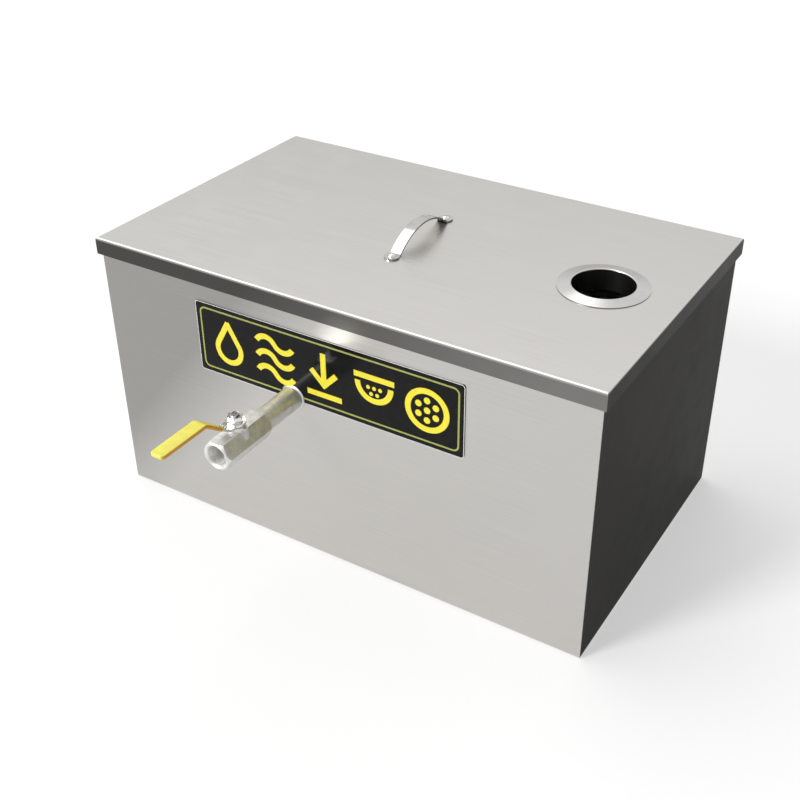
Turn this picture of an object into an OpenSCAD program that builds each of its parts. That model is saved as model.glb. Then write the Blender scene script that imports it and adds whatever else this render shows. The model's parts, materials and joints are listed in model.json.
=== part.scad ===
// Under-sink grease trap: folded stainless tank, lift-off lid with inlet collar and bow handle,
// hanging strainer basket, two baffles, outlet dip pipe, and a lever ball valve that drains the grease.
// X runs along the tank, -Y is the front with the valve, Z is up; the origin is the middle of the underside.

/* [Tank] */
// Length of the tank, outside
tank_l = 500; // [420:10:800]
// Width of the tank, outside
tank_w = 300; // [240:10:500]
// Height of the tank, floor to the top of its rim
tank_h = 270; // [240:5:400]
// Thickness of the stainless sheet
sheet_t = 1; // [0.8:0.1:1.5]
// Inside radius of the sheet's folds
bend_r = 1.25; // [1:0.25:2]
// Width of the lip folded inwards round the rim
rim_lip = 6; // [5:0.5:7]

/* [Lid] */
// Gap between the tank's wall and the lid's skirt
lid_gap = 2.5; // [1:0.5:6]
// Depth of the lid's skirt, over its top
lid_skirt = 16; // [12:1:30]

/* [Inlet collar] */
// End of the tank to the inlet's axis
inlet_edge = 68; // [60:1:100]
// Bore of the collar's neck
inlet_bore = 55; // [40:1:64]
// Width of the collar's sloping flange
collar_flange = 11.5; // [8:0.5:20]
// Height of the collar's lip above the lid
collar_rise = 2.6; // [2.2:0.1:8]
// Length of the neck below the lid
collar_neck = 18; // [8:1:30]
// Thickness of the collar's metal
collar_t = 1.2; // [1:0.1:1.4]

/* [Lid handle] */
// Length of the handle over its feet
handle_l = 108; // [90:1:140]
// Width of the bow
handle_w = 11; // [8:0.5:14]
// Width of each foot
handle_foot_w = 14; // [12:0.5:22]
// Thickness of the strip
handle_t = 1.5; // [1:0.1:3]
// Shank diameter of the handle's screws
screw_d = 4; // [3:0.5:5]

/* [Sign plate] */
// Width of the plate on the front
sign_w = 276; // [150:1:300]
// Height of the plate
sign_h = 71; // [40:1:90]
// Thickness of the plate
sign_t = 0.8; // [0.5:0.1:2]
// Place of the plate's middle along the front
sign_x = -4; // [-40:1:40]
// Rim of the tank down to the plate's middle
sign_drop = 68.5; // [55:0.5:110]

/* [Drain pipe] */
// Place of the drain along the front
drain_x = -39; // [-80:1:60]
// Rim of the tank down to the drain's axis
drain_drop = 102; // [80:1:150]
// Outside diameter of the drain pipe
pipe_d = 21.3; // [20.5:0.1:24]
// Wall of the drain pipe
pipe_wall = 2.6; // [2:0.1:3]
// Length of pipe between the wall and the valve
pipe_reach = 47; // [30:1:80]

/* [Ball valve] */
// Width of the hexagonal body across its flats
valve_af = 25; // [24.5:0.5:34]
// Inlet face to the stem's axis
valve_in = 31; // [30:0.5:40]
// Stem's axis to the outlet face
valve_out = 28; // [27:0.5:40]
// Bore of the threaded ends
socket_d = 18.6; // [18:0.1:19.4]
// Diameter of the ball
ball_d = 16.4; // [15:0.1:17]
// Bore through the ball and the body
port_d = 9.2; // [7:0.1:10]
// Diameter of the stem
stem_d = 7.8; // [7:0.1:8.4]

/* [Lever] */
// Stem's axis to the tip of the bare lever
lever_l = 92; // [70:1:130]
// Width of the lever's strip
lever_w = 12.4; // [9:0.1:14]
// Thickness of the lever's strip
lever_t = 2; // [1.5:0.1:3]
// Height of the grip above the hub
lever_rise = 21; // [10:1:30]
// Wall of the sleeve on the grip
sleeve_wall = 0.8; // [0.6:0.1:2]
// Stem's axis to the start of the sleeve
sleeve_from = 24; // [20:0.5:30]

/* [Outlet] */
// Outside diameter of the outlet pipe
outlet_d = 50; // [40:1:60]
// Wall of the outlet pipe
outlet_wall = 1.5; // [1:0.1:2.5]
// Rim of the tank down to the outlet's axis
outlet_drop = 80; // [60:1:110]
// Length of outlet pipe outside the tank
outlet_reach = 45; // [30:1:80]
// Height of the dip pipe's open end above the floor
dip_z = 70; // [40:1:90]

/* [Strainer basket] */
// Length of the basket along the tank
basket_l = 140; // [110:5:150]
// Depth of the basket
basket_h = 130; // [80:5:150]
// Rim of the tank down to the rails that carry the basket
rail_below = 55; // [40:1:70]
// Diameter of the strainer's holes
hole_d = 10; // [6:0.5:12]
// Distance between the strainer's holes
hole_pitch = 20; // [18:1:30]

/* [Baffles] */
// Room between the basket and the inlet baffle
inlet_room = 10; // [5:1:30]
// Left end of the tank to the face of the outlet baffle
outlet_room = 120; // [105:1:160]
// Rim of the tank down to the baffles' top edges
baffle_drop = 30; // [20:1:60]
// Gap under the inlet baffle
inlet_baffle_gap = 70; // [40:1:90]
// Gap under the outlet baffle
outlet_baffle_gap = 45; // [30:1:90]

/* [Hidden] */
$fn = 64;

// Colours
steel = [0.80, 0.79, 0.77];
bright_steel = [0.86, 0.86, 0.85];
cast_steel = [0.62, 0.62, 0.61];
sleeve_yellow = [0.94, 0.82, 0.22];
seat_white = [0.93, 0.93, 0.90];
sign_black = [0.06, 0.06, 0.06];

// Clearances
weld_clear = 0.2;
screw_clear = 0.15;
thread_clear = 0.05;
running_clear = 0.05;
seat_clear = 0.15;
basket_clear = 2;
hub_clear = 0.2;
stop_clear = 0.3;
eps = 0.01;

// Sheet-metal values that follow from the tank
fold_r = bend_r + sheet_t;
in_x = tank_l / 2 - sheet_t;
in_y = tank_w / 2 - sheet_t;
lid_z = tank_h + sheet_t;
front_y = -tank_w / 2;
inlet_x = tank_l / 2 - inlet_edge;
sign_z = tank_h - sign_drop;
drain_z = tank_h - drain_drop;
outlet_z = tank_h - outlet_drop;
rail_z = tank_h - rail_below;

// Inlet collar: radii of its neck, lip and foot
neck_r = inlet_bore / 2 + collar_t;
collar_r = neck_r + collar_flange;
lid_hole_r = neck_r + weld_clear;
collar_foot = 3;

// Lid handle: the bow fills the length between the feet, so its rise follows from its angle
handle_angle = acos(0.752192);
handle_bend = 3;
foot_over = 0.8;
handle_foot = handle_foot_w / 2 + screw_d + foot_over;
handle_turn_r = (handle_l / 2 - handle_foot) / sin(handle_angle);
handle_rise = handle_turn_r * (1 - cos(handle_angle));
handle_bow_r = handle_turn_r - handle_bend - handle_t;
handle_hole_y = handle_l / 2 - handle_foot_w / 2;
screw_head_d = 2 * screw_d;
screw_head_h = 0.65 * screw_d;
nut_af = 1.75 * screw_d;
nut_h = 0.8 * screw_d;
screw_over = 1;

// Drain pipe and its weld
pipe_r = pipe_d / 2;
weld_leg = 3;
drain_weld = 1.5;
pipe_inside = 6;
sign_notch_clear = 0.6;
sign_corner = 3;

// Valve: heights are above the pipe's axis, places along the pipe are from the stem outwards
socket_r = socket_d / 2;
socket_depth = 14;
thread_len = 12;
ball_r = ball_d / 2;
port_r = port_d / 2;
stem_r = stem_d / 2;
chamber_clear = 0.6;
chamber_r = ball_r + chamber_clear;
seat_in = 5.5;
seat_out = 9.5;
seat_step = 0.4;
seat_bore_r = port_r + seat_step;
retainer_step = 0.2;
retainer_r = chamber_r + retainer_step;
retainer_len = 5.5;
key_step = 1;
retainer_key_af = port_d + 2 * key_step;
retainer_key_depth = 2.5;
end_step = 0.8;
mouth_chamfer = 1.5;
boss_wall = 2;
packing_w = 2.3;
pocket_r = stem_r + packing_w;
boss_r = pocket_r + boss_wall;
flat_z = valve_af / 2;
shoulder_step = 1.2;
shoulder_r = stem_r + shoulder_step;
tang_t = 2.8;
tang_depth = 3;
tang_bottom = ball_r - tang_depth;
shoulder_gap = 0.4;
shoulder_z = ball_r + shoulder_gap;
shoulder_h = 1.8;
shoulder_top = shoulder_z + shoulder_h;
packing_sink = 0.5;
packing_z = flat_z - packing_sink;
packing_h = 2.3;
gland_thread = 2.2;
boss_top = packing_z + packing_h + gland_thread;
gland_af = 14;
gland_h = 1.6;
hub_z = boss_top + gland_h + hub_clear;
washer_h = 1;
washer_r = 6.6;
lever_nut_af = 12;
lever_nut_h = 4;
stem_over = 1.2;
stem_top = hub_z + lever_t + washer_h + lever_nut_h + stem_over;
flat_depth = 1;
stem_flat = stem_d - 2 * flat_depth;
stem_y = front_y - pipe_reach - valve_in;

// Lever: hub and bends, with the slope's length worked out from its rise
hub_r = 9;
lever_angle = asin(0.6);
lever_bend = 4;
lever_root = 12;
lever_bends = 2 * lever_bend + lever_t;
lever_slope = (lever_rise - lever_bends * (1 - cos(lever_angle))) / sin(lever_angle);
lever_grip = lever_l - lever_root - lever_bends * sin(lever_angle) - lever_slope * cos(lever_angle);
sleeve_w = lever_w + 2 * sleeve_wall;
tip_r = 3;

// Stops: a tab on the lever's hub swings a quarter turn between two lugs on the body
stop_over = 3.2;
stop_reach = boss_r + stop_over;
stop_w = 4;
tab_w = 5;
tab_drop = 4.2;
lug_h = 3;
lug_top = flat_z + lug_h;
tab_r = stop_reach - lever_t;
tab_root = 3;
stop_turn = asin((tab_w / 2 + stop_clear) / norm([tab_r, stop_w / 2])) + atan(stop_w / 2 / tab_r);
tab_at = 120;

// Outlet bend
outlet_r = outlet_d / 2;
outlet_inside = 20;
dip_bend_in = 18;
dip_bend = outlet_r + dip_bend_in;

// Basket: it passes inside the rim's lip and hangs by its flanges on two rails
basket_over = tank_w - 2 * rim_lip - 2 * basket_clear;
basket_flange = 9;
basket_w = basket_over - 2 * basket_flange;
rail_leg = in_y - basket_w / 2 - basket_clear;
rail_drop = 14;
basket_end_gap = 7;
basket_x = in_x - basket_l / 2 - basket_end_gap;
basket_top = rail_z + sheet_t;
basket_floor = basket_top - basket_h;
wire_r = 2;
wire_span = 80;
wire_rise = 22;
wire_bend = 10;
wire_leg = 30;
hole_margin = 6;

// Baffles
baffle_flange = 12;
baffle_top = tank_h - baffle_drop;
inlet_baffle_x = basket_x - basket_l / 2 - inlet_room;
outlet_baffle_x = outlet_room - tank_l / 2;

// Folded strip: legs are [straight run, turn after it, inside radius], lower face on the X axis
module strip(t, legs, i = 0) {
    if (i < len(legs)) {
        run = legs[i][0];
        turn = legs[i][1];
        r = legs[i][2];
        centre = turn < 0 ? -r : t + r;
        if (run > 0) square([run, t]);
        if (turn != 0) translate([run, centre]) bend(t, turn, r);
        translate([run, centre]) rotate(turn) translate([0, -centre]) strip(t, legs, i + 1);
    }
}

// Sector of a ring, swept by one fold about its centre and cut square to the strip at both ends
module bend(t, turn, r) {
    far = 2 * (r + t);
    intersection() {
        difference() {
            circle(r + t);
            circle(r);
        }
        translate([0, -far]) square([far, 2 * far]);
        rotate(turn) translate([-far, -far]) square([far, 2 * far]);
    }
}

// Rectangle with round corners, centred
module round_rect(w, h, r) {
    square([w - 2 * r, h], center = true);
    square([w, h - 2 * r], center = true);
    for (x = [-1, 1], y = [-1, 1]) translate([x * (w / 2 - r), y * (h / 2 - r)]) circle(r);
}

// Extrusions of an outline drawn in X and Y: along X (outline on Y and Z) and along Y (outline on X and Z)
module along_x(l) {
    rotate([90, 0, 90]) linear_extrude(l, center = true) children();
}
module along_y(l) {
    rotate([90, 0, 0]) linear_extrude(l, center = true) children();
}

// Grid of strainer holes over a w by h field, drilled along Z
module hole_grid(w, h) {
    nx = floor((w - hole_d - 2 * hole_margin) / hole_pitch);
    ny = floor((h - hole_d - 2 * hole_margin) / hole_pitch);
    for (i = [0:nx], j = [0:ny])
        translate([(i - nx / 2) * hole_pitch, (j - ny / 2) * hole_pitch, 0])
            cylinder(h = 4 * sheet_t, d = hole_d, center = true);
}

// Hexagonal prism, by its width across the flats
module hex_prism(af, h) {
    cylinder(h = h, r = af / 2 / cos(30), $fn = 6);
}

// Frame of the valve: the stem's foot on the pipe's axis, with the outlet along -Y
module at_valve() {
    translate([drain_x, stem_y, drain_z]) children();
}

// Round bar along the pipe from one place to another, measured from the stem outwards
module pipe_bar(from, to, r) {
    translate([0, -from, 0]) rotate([90, 0, 0]) cylinder(h = to - from, r = r);
}

// Front, floor and back in one sheet, with the rim's lip folded in along both sides
module tank_wrap() {
    wall = tank_h - 2 * fold_r;
    floor_run = tank_w - 2 * fold_r;
    lip = rim_lip - fold_r;
    color(steel) difference() {
        along_x(tank_l) translate([front_y + rim_lip, tank_h]) rotate(180)
            strip(sheet_t, [[lip, 90, bend_r], [wall, 90, bend_r], [floor_run, 90, bend_r], [wall, 90, bend_r],
                [lip, 0, 0]]);
        translate([drain_x, front_y, drain_z]) rotate([90, 0, 0])
            cylinder(h = 4 * sheet_t, r = pipe_r + weld_clear, center = true);
    }
}

// End of the tank, set inside the wrap and folded in at the rim between its lips
module end_panel() {
    lip_l = tank_w - 2 * rim_lip;
    translate([tank_l / 2 - sheet_t / 2, 0, 0]) difference() {
        along_x(sheet_t) translate([0, tank_h / 2])
            round_rect(tank_w - 2 * sheet_t, tank_h - 2 * sheet_t, bend_r);
        translate([-sheet_t, -lip_l / 2, tank_h - fold_r]) cube([2 * sheet_t, lip_l, fold_r]);
    }
    along_y(lip_l) translate([tank_l / 2, tank_h - fold_r]) rotate(90)
        strip(sheet_t, [[0, 90, bend_r], [rim_lip - fold_r, 0, 0]]);
}

module end_panel_left() {
    color(steel) difference() {
        mirror([1, 0, 0]) end_panel();
        translate([-tank_l / 2, 0, outlet_z]) rotate([0, 90, 0])
            cylinder(h = 4 * sheet_t, r = outlet_r + weld_clear, center = true);
    }
}

module end_panel_right() {
    color(steel) end_panel();
}

// Cross plate with a flange folded against the front and the back wall
module baffle(x, gap) {
    run = baffle_flange - fold_r;
    translate([x - baffle_flange, -in_y, gap]) linear_extrude(baffle_top - gap)
        strip(sheet_t, [[run, 90, bend_r], [2 * in_y - 2 * fold_r, 90, bend_r], [run, 0, 0]]);
}

module inlet_baffle() {
    color(steel) baffle(inlet_baffle_x, inlet_baffle_gap);
}

module outlet_baffle() {
    color(steel) baffle(outlet_baffle_x, outlet_baffle_gap);
}

// Two angle rails on the front and the back wall
module basket_rails() {
    color(steel) for (side = [0, 180])
        translate([basket_x, 0, 0]) rotate(side)
            along_x(basket_l) translate([-in_y + sheet_t, rail_z - rail_drop]) rotate(90)
                strip(sheet_t, [[rail_drop - fold_r, -90, bend_r], [rail_leg - fold_r, 0, 0]]);
}

// Floor, long walls and hanging flanges of the basket in one perforated sheet
module basket_wrap() {
    lip = basket_flange - bend_r;
    wall = basket_h - bend_r - fold_r - sheet_t;
    floor_run = basket_w - 2 * fold_r;
    color(bright_steel) translate([basket_x, 0, 0]) difference() {
        along_x(basket_l) translate([-basket_over / 2, rail_z])
            strip(sheet_t, [[lip, -90, bend_r], [wall, 90, bend_r], [floor_run, 90, bend_r], [wall, -90, bend_r],
                [lip, 0, 0]]);
        translate([0, 0, basket_floor]) hole_grid(basket_l, basket_w);
        for (side = [-1, 1])
            translate([0, side * basket_w / 2, basket_top - basket_h / 2]) rotate([90, 0, 0])
                hole_grid(basket_l, basket_h);
    }
}

// Perforated end of the basket, set inside the wrap
module basket_end() {
    h = basket_h - sheet_t;
    translate([basket_l / 2 - sheet_t / 2, 0, basket_top - h / 2]) difference() {
        along_x(sheet_t) {
            translate([0, bend_r / 2]) square([basket_w - 2 * sheet_t, h - bend_r], center = true);
            round_rect(basket_w - 2 * sheet_t, h, bend_r);
        }
        rotate([0, 90, 0]) hole_grid(h, basket_w);
        translate([-sheet_t, -basket_w / 2, h / 2 - fold_r]) cube([2 * sheet_t, basket_w, 2 * fold_r]);
    }
}

module basket_end_left() {
    color(bright_steel) translate([basket_x, 0, 0]) mirror([1, 0, 0]) basket_end();
}

module basket_end_right() {
    color(bright_steel) translate([basket_x, 0, 0]) basket_end();
}

// Wire loop that stands on the inside of a basket's end
module wire_loop() {
    foot = basket_top - wire_leg;
    straight = wire_leg + wire_rise - wire_bend;
    for (side = [-1, 1]) {
        translate([0, side * wire_span / 2, foot]) cylinder(h = straight, r = wire_r);
        translate([0, side * (wire_span / 2 - wire_bend), foot + straight])
            rotate([90, 0, side > 0 ? 90 : -90])
                rotate_extrude(angle = 90) translate([wire_bend, 0]) circle(wire_r);
    }
    translate([0, 0, foot + straight + wire_bend]) rotate([90, 0, 0])
        cylinder(h = wire_span - 2 * wire_bend, r = wire_r, center = true);
}

module basket_handles() {
    color(bright_steel) for (side = [-1, 1])
        translate([basket_x + side * (basket_l / 2 - sheet_t - wire_r), 0, 0]) wire_loop();
}

// Outlet pipe with its weld on the outside of the left end
module outlet_pipe() {
    l = outlet_reach + sheet_t + outlet_inside;
    color(steel) translate([-tank_l / 2, 0, outlet_z]) rotate([0, 90, 0]) difference() {
        union() {
            translate([0, 0, -outlet_reach]) cylinder(h = l, r = outlet_r);
            translate([0, 0, -weld_leg]) cylinder(h = weld_leg, r1 = outlet_r, r2 = outlet_r + weld_leg);
        }
        translate([0, 0, -outlet_reach - 1]) cylinder(h = l + 2, r = outlet_r - outlet_wall);
    }
}

// Quarter bend and straight leg that draw the water from below the grease
module dip_elbow() {
    start_x = -in_x + outlet_inside;
    color(steel) translate([start_x, 0, outlet_z - dip_bend]) {
        rotate([90, 0, 0]) rotate_extrude(angle = 90) translate([dip_bend, 0]) difference() {
            circle(outlet_r);
            circle(outlet_r - outlet_wall);
        }
        leg = outlet_z - dip_bend - dip_z;
        translate([dip_bend, 0, -leg]) difference() {
            cylinder(h = leg, r = outlet_r);
            translate([0, 0, -1]) cylinder(h = leg + 2, r = outlet_r - outlet_wall);
        }
    }
}

// Plate on the front wall, cut out round the drain pipe
module sign_plate() {
    color(sign_black) difference() {
        translate([sign_x, front_y - sign_t / 2, sign_z]) along_y(sign_t) round_rect(sign_w, sign_h, sign_corner);
        translate([drain_x, front_y, drain_z]) rotate([90, 0, 0])
            cylinder(h = 4 * sign_t, r = pipe_r + drain_weld + sign_notch_clear, center = true);
    }
}

// Pipe welded through the front wall, with its end turned down for the valve's socket
module drain_pipe() {
    l = pipe_inside + sheet_t + pipe_reach;
    color(cast_steel) translate([drain_x, front_y, drain_z]) rotate([90, 0, 0]) difference() {
        union() {
            translate([0, 0, -pipe_inside - sheet_t]) cylinder(h = l, r = pipe_r);
            translate([0, 0, pipe_reach]) cylinder(h = thread_len, r = socket_r - thread_clear);
            cylinder(h = drain_weld, r1 = pipe_r + drain_weld, r2 = pipe_r);
        }
        translate([0, 0, -pipe_inside - sheet_t - 1])
            cylinder(h = l + thread_len + 2, r = pipe_r - pipe_wall);
    }
}

// Body from hexagonal bar: chamfered ends, stem boss with stop lugs, and the bores from each end
module valve_body() {
    corner_r = flat_z / cos(30);
    end_r = flat_z - end_step;
    over = 0.2;
    cone = corner_r - end_r + over;
    color(cast_steel) at_valve() difference() {
        union() {
            intersection() {
                translate([0, valve_in, 0]) rotate([90, 0, 0]) hex_prism(valve_af, valve_in + valve_out);
                translate([0, valve_in, 0]) rotate([90, 0, 0]) {
                    cylinder(h = cone, r1 = end_r, r2 = corner_r + over);
                    translate([0, 0, cone])
                        cylinder(h = valve_in + valve_out - 2 * cone, r = corner_r + over);
                    translate([0, 0, valve_in + valve_out - cone])
                        cylinder(h = cone, r1 = corner_r + over, r2 = end_r);
                }
            }
            cylinder(h = boss_top, r = boss_r);
            for (turn = [stop_turn, -90 - stop_turn]) rotate(tab_at + turn)
                translate([0, -stop_w / 2, 0]) cube([stop_reach, stop_w, lug_top]);
        }
        pipe_bar(-valve_in - 1, socket_depth - valve_in, socket_r);
        pipe_bar(-valve_in, 0, port_r);
        pipe_bar(-seat_out, seat_out, chamber_r);
        pipe_bar(0, seat_out + retainer_len, retainer_r);
        pipe_bar(seat_out + retainer_len - eps, valve_out + 1, socket_r);
        translate([0, mouth_chamfer + 1 - valve_out, 0]) rotate([90, 0, 0])
            cylinder(h = mouth_chamfer + 2, r1 = socket_r - 1, r2 = socket_r + mouth_chamfer + 1);
        cylinder(h = shoulder_top + seat_clear, r = shoulder_r + seat_clear);
        cylinder(h = boss_top, r = stem_r + running_clear);
        translate([0, 0, packing_z]) cylinder(h = boss_top, r = pocket_r);
    }
}

// Threaded ring that holds the ball and its seats, with a hexagonal key socket
module valve_retainer() {
    color(bright_steel) at_valve() difference() {
        pipe_bar(seat_out, seat_out + retainer_len, retainer_r - thread_clear);
        pipe_bar(seat_out - 1, seat_out + retainer_len + 1, port_r);
        translate([0, -seat_out - retainer_len + retainer_key_depth, 0]) rotate([90, 0, 0])
            hex_prism(retainer_key_af, retainer_key_depth + 1);
    }
}

// Two seat rings, hollowed to the ball
module valve_seats() {
    color(seat_white) at_valve() for (turn = [0, 180]) rotate(turn) difference() {
        pipe_bar(seat_in, seat_out, chamber_r - thread_clear);
        pipe_bar(seat_in - 1, seat_out + 1, seat_bore_r);
        sphere(ball_r + seat_clear);
    }
}

// Ball with its port along the pipe and a slot across its top for the stem's tang
module valve_ball() {
    color(bright_steel) at_valve() difference() {
        sphere(ball_r);
        pipe_bar(-2 * ball_r, 2 * ball_r, port_r);
        translate([-2 * ball_r, -tang_t / 2 - running_clear, tang_bottom - seat_clear])
            cube([4 * ball_r, tang_t + 2 * running_clear, ball_r]);
    }
}

// Stem: tang, blow-out shoulder, shaft and the flats that drive the lever
module valve_stem() {
    color(bright_steel) at_valve() {
        translate([0, 0, shoulder_z]) cylinder(h = shoulder_top - shoulder_z, r = shoulder_r);
        translate([0, 0, shoulder_top]) cylinder(h = hub_z - shoulder_top, r = stem_r);
        intersection() {
            translate([0, 0, tang_bottom]) cylinder(h = shoulder_z - tang_bottom, r = stem_r);
            translate([-stem_r, -tang_t / 2, tang_bottom]) cube([stem_d, tang_t, shoulder_z - tang_bottom]);
        }
        intersection() {
            translate([0, 0, hub_z]) cylinder(h = stem_top - hub_z, r = stem_r);
            translate([-stem_flat / 2, -stem_r, hub_z]) cube([stem_flat, stem_d, stem_top - hub_z]);
        }
    }
}

module stem_packing() {
    color(seat_white) at_valve() translate([0, 0, packing_z]) difference() {
        cylinder(h = packing_h, r = pocket_r);
        translate([0, 0, -1]) cylinder(h = packing_h + 2, r = stem_r + running_clear);
    }
}

// Nut screwed into the boss on top of the packing
module gland_nut() {
    bottom = packing_z + packing_h;
    color(bright_steel) at_valve() difference() {
        union() {
            translate([0, 0, bottom]) cylinder(h = boss_top - bottom, r = pocket_r - thread_clear);
            translate([0, 0, boss_top]) hex_prism(gland_af, gland_h);
        }
        translate([0, 0, bottom - 1]) cylinder(h = boss_top + gland_h, r = stem_r + 2 * running_clear);
    }
}

// Side outline of the lever from behind the hub to its tip, grown by a coat on both faces
module lever_side(coat) {
    r = lever_bend - coat;
    translate([-hub_r, -coat])
        strip(lever_t + 2 * coat, [[hub_r + lever_root, lever_angle, r], [lever_slope, -lever_angle, r],
            [lever_grip + coat, 0, 0]]);
}

// Plan outline of a strip from the hub to a tip with round corners
module lever_plan(from, tip, w, r) {
    translate([from, -w / 2]) square([tip - r - from, w]);
    translate([from, r - w / 2]) square([tip - from, w - 2 * r]);
    for (side = [-1, 1]) translate([tip - r, side * (w / 2 - r)]) circle(r);
}

// Bent strip with a round hub, a double-flat hole for the stem and a stop tab
module lever() {
    color(bright_steel) at_valve() {
        rotate(-90) translate([0, 0, hub_z]) difference() {
            intersection() {
                rotate([90, 0, 0]) linear_extrude(4 * hub_r, center = true) lever_side(0);
                linear_extrude(2 * lever_rise) {
                    circle(hub_r);
                    lever_plan(0, lever_l, lever_w, tip_r);
                }
            }
            intersection() {
                translate([0, 0, -1]) cylinder(h = lever_t + 2, r = stem_r + running_clear);
                translate([-hub_r, -stem_flat / 2 - running_clear, -1])
                    cube([2 * hub_r, stem_flat + 2 * running_clear, lever_t + 2]);
            }
        }
        rotate(tab_at) translate([0, -tab_w / 2, 0]) {
            translate([stem_r + tab_root, 0, hub_z]) cube([stop_reach - stem_r - tab_root, tab_w, lever_t]);
            translate([tab_r, 0, hub_z - tab_drop]) cube([lever_t, tab_w, tab_drop + lever_t]);
        }
    }
}

// Dipped sleeve round the lever's slope and grip
module lever_sleeve() {
    color(sleeve_yellow) at_valve() rotate(-90) translate([0, 0, hub_z]) difference() {
        intersection() {
            rotate([90, 0, 0]) linear_extrude(2 * sleeve_w, center = true) lever_side(sleeve_wall);
            linear_extrude(2 * lever_rise)
                lever_plan(sleeve_from, lever_l + sleeve_wall, sleeve_w, tip_r + sleeve_wall);
        }
        intersection() {
            rotate([90, 0, 0]) linear_extrude(2 * sleeve_w, center = true) lever_side(0);
            linear_extrude(2 * lever_rise) lever_plan(0, lever_l, lever_w, tip_r);
        }
    }
}

module lever_washer() {
    color(bright_steel) at_valve() translate([0, 0, hub_z + lever_t]) difference() {
        cylinder(h = washer_h, r = washer_r);
        translate([0, 0, -1]) cylinder(h = washer_h + 2, r = stem_r + screw_clear);
    }
}

module lever_nut() {
    color(bright_steel) at_valve() translate([0, 0, hub_z + lever_t + washer_h]) difference() {
        hex_prism(lever_nut_af, lever_nut_h);
        translate([0, 0, -1]) cylinder(h = lever_nut_h + 2, r = stem_r + thread_clear);
    }
}

// Block with its four top edges folded round, for the lid's outside and inside
module pan_block(l, w, h, r) {
    intersection() {
        along_x(l) pan_side(w, h, r);
        along_y(w) pan_side(l, h, r);
    }
}

module pan_side(w, h, r) {
    translate([-w / 2, -h]) square([w, h - r]);
    translate([-w / 2 + r, -h]) square([w - 2 * r, h]);
    for (x = [-1, 1]) translate([x * (w / 2 - r), -r]) circle(r);
}

// Folded pan that drops over the rim, with holes for the collar and the handle's screws
module lid() {
    grow = 2 * lid_gap;
    wall = grow + 2 * sheet_t;
    color(steel) difference() {
        translate([0, 0, lid_z]) pan_block(tank_l + wall, tank_w + wall, lid_skirt, fold_r);
        translate([0, 0, tank_h]) pan_block(tank_l + grow, tank_w + grow, lid_skirt, bend_r);
        translate([inlet_x, 0, tank_h - 1]) cylinder(h = sheet_t + 2, r = lid_hole_r);
        for (side = [-1, 1]) translate([0, side * handle_hole_y, tank_h - 1])
            cylinder(h = sheet_t + 2, r = screw_d / 2 + screw_clear);
    }
}

// Spun collar: sloping flange with a flat foot on the lid, rolled lip, and a neck through the hole
module inlet_collar() {
    bore_r = inlet_bore / 2;
    under = collar_rise - 1.5 * collar_t;
    color(bright_steel) translate([inlet_x, 0, lid_z]) rotate_extrude() {
        polygon([[collar_r - collar_foot, 0], [collar_r, 0], [collar_r, collar_t / 2], [neck_r, collar_rise],
            [bore_r + collar_t / 2, collar_rise - collar_t], [bore_r + collar_t / 2, under], [neck_r, under]]);
        translate([bore_r, -collar_neck]) square([collar_t, collar_neck + collar_rise - collar_t]);
        translate([bore_r + collar_t, collar_rise - collar_t]) circle(collar_t);
    }
}

// Stamped bow: round feet, a root bend at each side and one long arch
module lid_handle() {
    color(bright_steel) translate([0, 0, lid_z]) difference() {
        intersection() {
            rotate(90) translate([-handle_l / 2, 0, 0]) along_y(2 * handle_foot_w)
                strip(handle_t, [[handle_foot, handle_angle, handle_bend],
                    [0, -2 * handle_angle, handle_bow_r], [0, handle_angle, handle_bend], [handle_foot, 0, 0]]);
            linear_extrude(2 * handle_rise) {
                square([handle_w, handle_l - handle_foot_w], center = true);
                for (side = [-1, 1]) translate([0, side * handle_hole_y]) circle(handle_foot_w / 2);
            }
        }
        for (side = [-1, 1]) translate([0, side * handle_hole_y, -1])
            cylinder(h = handle_t + 2, r = screw_d / 2 + screw_clear);
    }
}

// Domed screws with a cross recess, through the feet and the lid
module handle_screws() {
    dome_r = (pow(screw_head_d / 2, 2) + pow(screw_head_h, 2)) / 2 / screw_head_h;
    grip = handle_t + sheet_t + nut_h + screw_over;
    recess_w = screw_d / 5;
    recess_l = 0.55 * screw_head_d;
    color(bright_steel) for (side = [-1, 1]) translate([0, side * handle_hole_y, lid_z + handle_t]) {
        difference() {
            intersection() {
                translate([0, 0, screw_head_h - dome_r]) sphere(dome_r);
                cylinder(h = screw_head_h, r = screw_head_d / 2);
            }
            for (turn = [0, 90]) rotate(turn)
                translate([-recess_l / 2, -recess_w / 2, screw_head_h / 2]) cube([recess_l, recess_w, screw_head_h]);
        }
        translate([0, 0, -grip]) cylinder(h = grip, r = screw_d / 2);
    }
}

module handle_nuts() {
    color(bright_steel) for (side = [-1, 1]) translate([0, side * handle_hole_y, tank_h - nut_h]) difference() {
        hex_prism(nut_af, nut_h);
        translate([0, 0, -1]) cylinder(h = nut_h + 2, r = screw_d / 2 + thread_clear);
    }
}

tank_wrap();
end_panel_left();
end_panel_right();
inlet_baffle();
outlet_baffle();
basket_rails();
basket_wrap();
basket_end_left();
basket_end_right();
basket_handles();
outlet_pipe();
dip_elbow();
sign_plate();
drain_pipe();
valve_body();
valve_retainer();
valve_seats();
valve_ball();
valve_stem();
stem_packing();
gland_nut();
lever();
lever_sleeve();
lever_washer();
lever_nut();
lid();
inlet_collar();
lid_handle();
handle_screws();
handle_nuts();
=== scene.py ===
"""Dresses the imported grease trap: satin sheet, spun collar, drain valve, printed plate and a pale studio."""

import json
import math

import bmesh
import bpy
from bpy.props import FloatProperty, FloatVectorProperty, PointerProperty
from bpy.types import Operator, Panel, PropertyGroup
from mathutils import Matrix, Vector


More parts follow.
